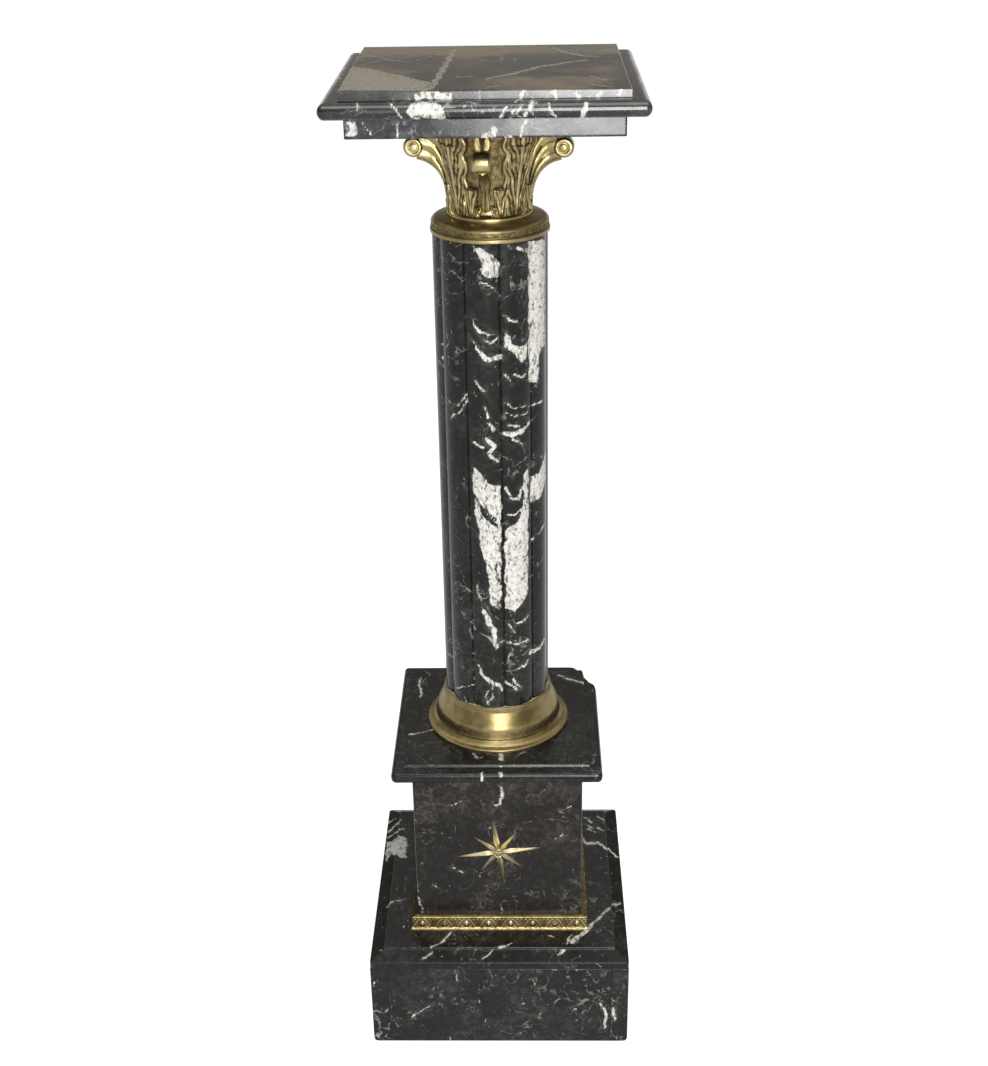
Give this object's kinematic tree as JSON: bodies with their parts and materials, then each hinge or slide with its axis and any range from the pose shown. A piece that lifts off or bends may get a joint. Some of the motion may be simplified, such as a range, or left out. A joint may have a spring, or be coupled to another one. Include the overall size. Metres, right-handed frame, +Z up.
{
  "type": "pedestal column stand",
  "caption": "Square-topped pedestal: marble slabs and a reeded round shaft with gilt bronze ring, collar, leaf capital, star and leaf moulding, held by a central tie rod.",
  "frame": {"origin": "on the floor, under the middle of the stand", "axes": "+Z up along the shaft's axis; the front, with the star, faces -Y"},
  "size_m": [0.3, 0.3, 1.1],
  "materials": {
    "black_marble": "polished",
    "gilt_bronze": "satin",
    "iron": "matte",
    "plaster": "matte"
  },
  "bodies": {
    "root": {"base_front_panel": "black_marble", "base_right_panel": "black_marble", "base_back_panel": "black_marble", "base_left_panel": "black_marble", "base_top_slab": "black_marble", "die_front_panel": "black_marble", "die_right_panel": "black_marble", "die_back_panel": "black_marble", "die_left_panel": "black_marble", "plinth_cap": "black_marble", "column_shaft": "black_marble", "abacus_slab": "black_marble", "top_slab": "black_marble", "base_ring": "gilt_bronze", "collar_ring": "gilt_bronze", "capital_bell": "gilt_bronze", "capital_volute_front": "gilt_bronze", "capital_volute_right": "gilt_bronze", "capital_volute_back": "gilt_bronze", "capital_volute_left": "gilt_bronze", "capital_acanthus_front_right": "gilt_bronze", "capital_acanthus_back_right": "gilt_bronze", "capital_acanthus_back_left": "gilt_bronze", "capital_acanthus_front_left": "gilt_bronze", "star_mount": "gilt_bronze", "star_screw": "gilt_bronze", "frieze_front": "gilt_bronze", "frieze_right": "gilt_bronze", "frieze_back": "gilt_bronze", "frieze_left": "gilt_bronze", "frieze_pins": "gilt_bronze", "tie_rod": "iron", "rod_nut_top": "iron", "rod_nut_bottom": "iron", "rod_washer_top": "iron", "rod_washer_bottom": "iron", "anchor_plate": "iron", "shaft_foot_filler": "plaster"}
  },
  "joints": []
}
